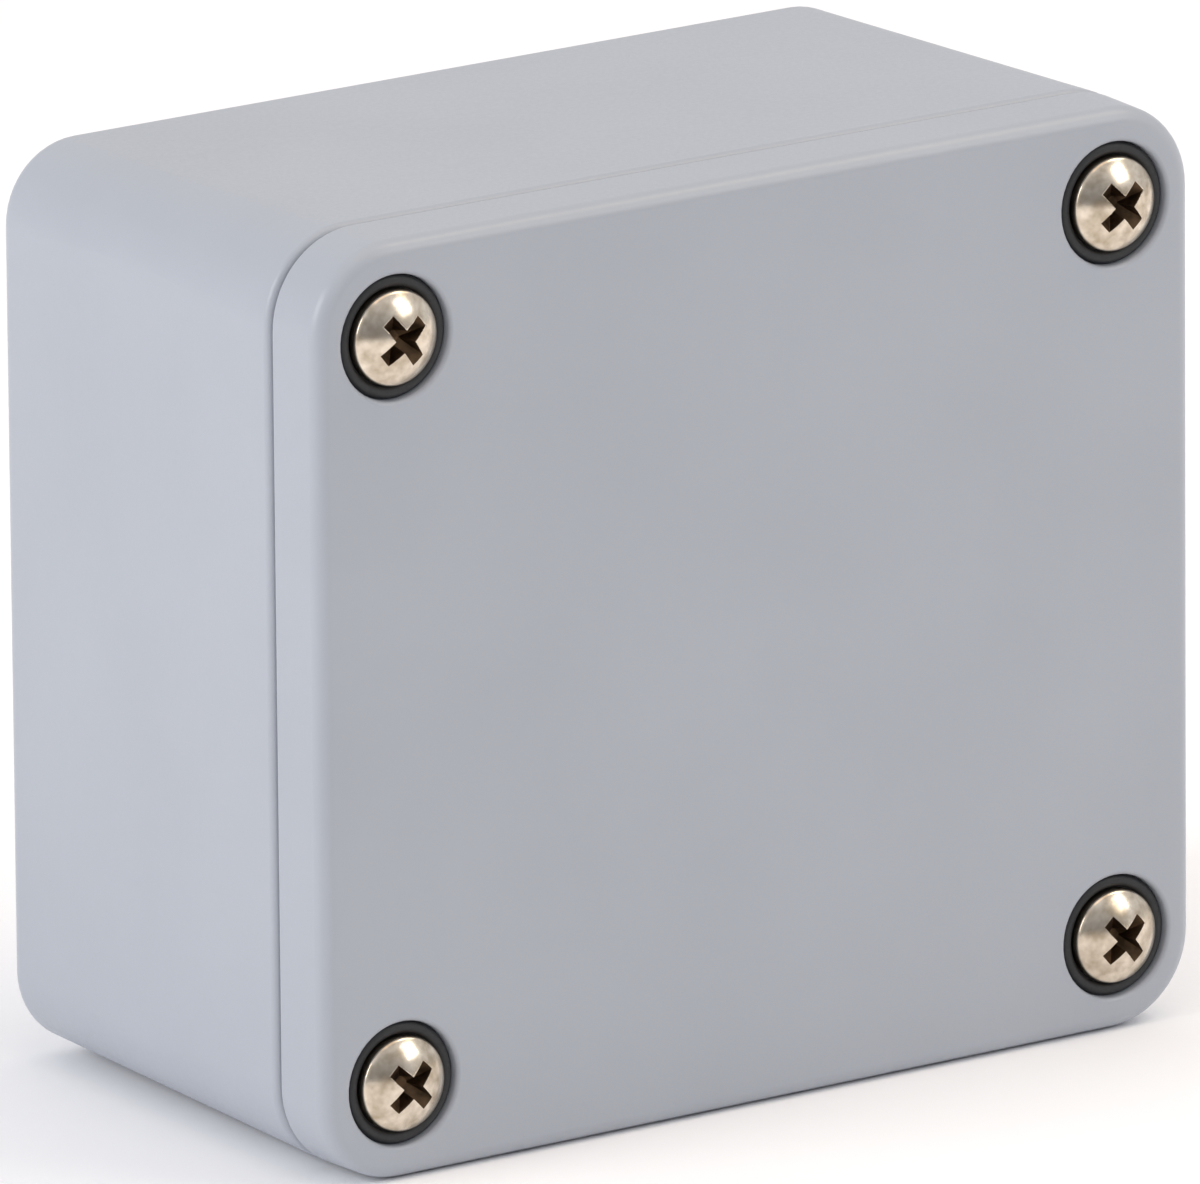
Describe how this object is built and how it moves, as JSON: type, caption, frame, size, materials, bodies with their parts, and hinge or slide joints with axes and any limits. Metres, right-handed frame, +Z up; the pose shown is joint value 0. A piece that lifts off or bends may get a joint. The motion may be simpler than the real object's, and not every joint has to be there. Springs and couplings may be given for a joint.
{
  "type": "die cast aluminium box",
  "caption": "Small sealed die cast aluminium box with a screwed lid, gasket, screw posts, board bosses and wall-fixing holes, standing on its side.",
  "frame": {"origin": "on the floor below the middle of the box as it stands on its long side", "axes": "+Z up, +X along the long side, the lid faces -Y and the wall-mounting back faces +Y"},
  "size_m": [0.064, 0.0361, 0.058],
  "materials": {
    "powder_coat": "silver-grey powder coat over die cast aluminium, satin",
    "gasket_rubber": "black synthetic rubber",
    "screw_steel": "stainless steel, cold-headed and polished by tumbling",
    "nylon": "natural nylon"
  },
  "bodies": {
    "root": {"base": "powder_coat", "lid": "powder_coat", "lid_gasket": "gasket_rubber", "lid_screw_1": "screw_steel", "lid_screw_2": "screw_steel", "lid_screw_3": "screw_steel", "lid_screw_4": "screw_steel", "screw_seal_1": "gasket_rubber", "screw_seal_2": "gasket_rubber", "screw_seal_3": "gasket_rubber", "screw_seal_4": "gasket_rubber", "screw_retainer_1": "nylon", "screw_retainer_2": "nylon", "screw_retainer_3": "nylon", "screw_retainer_4": "nylon"}
  },
  "joints": []
}
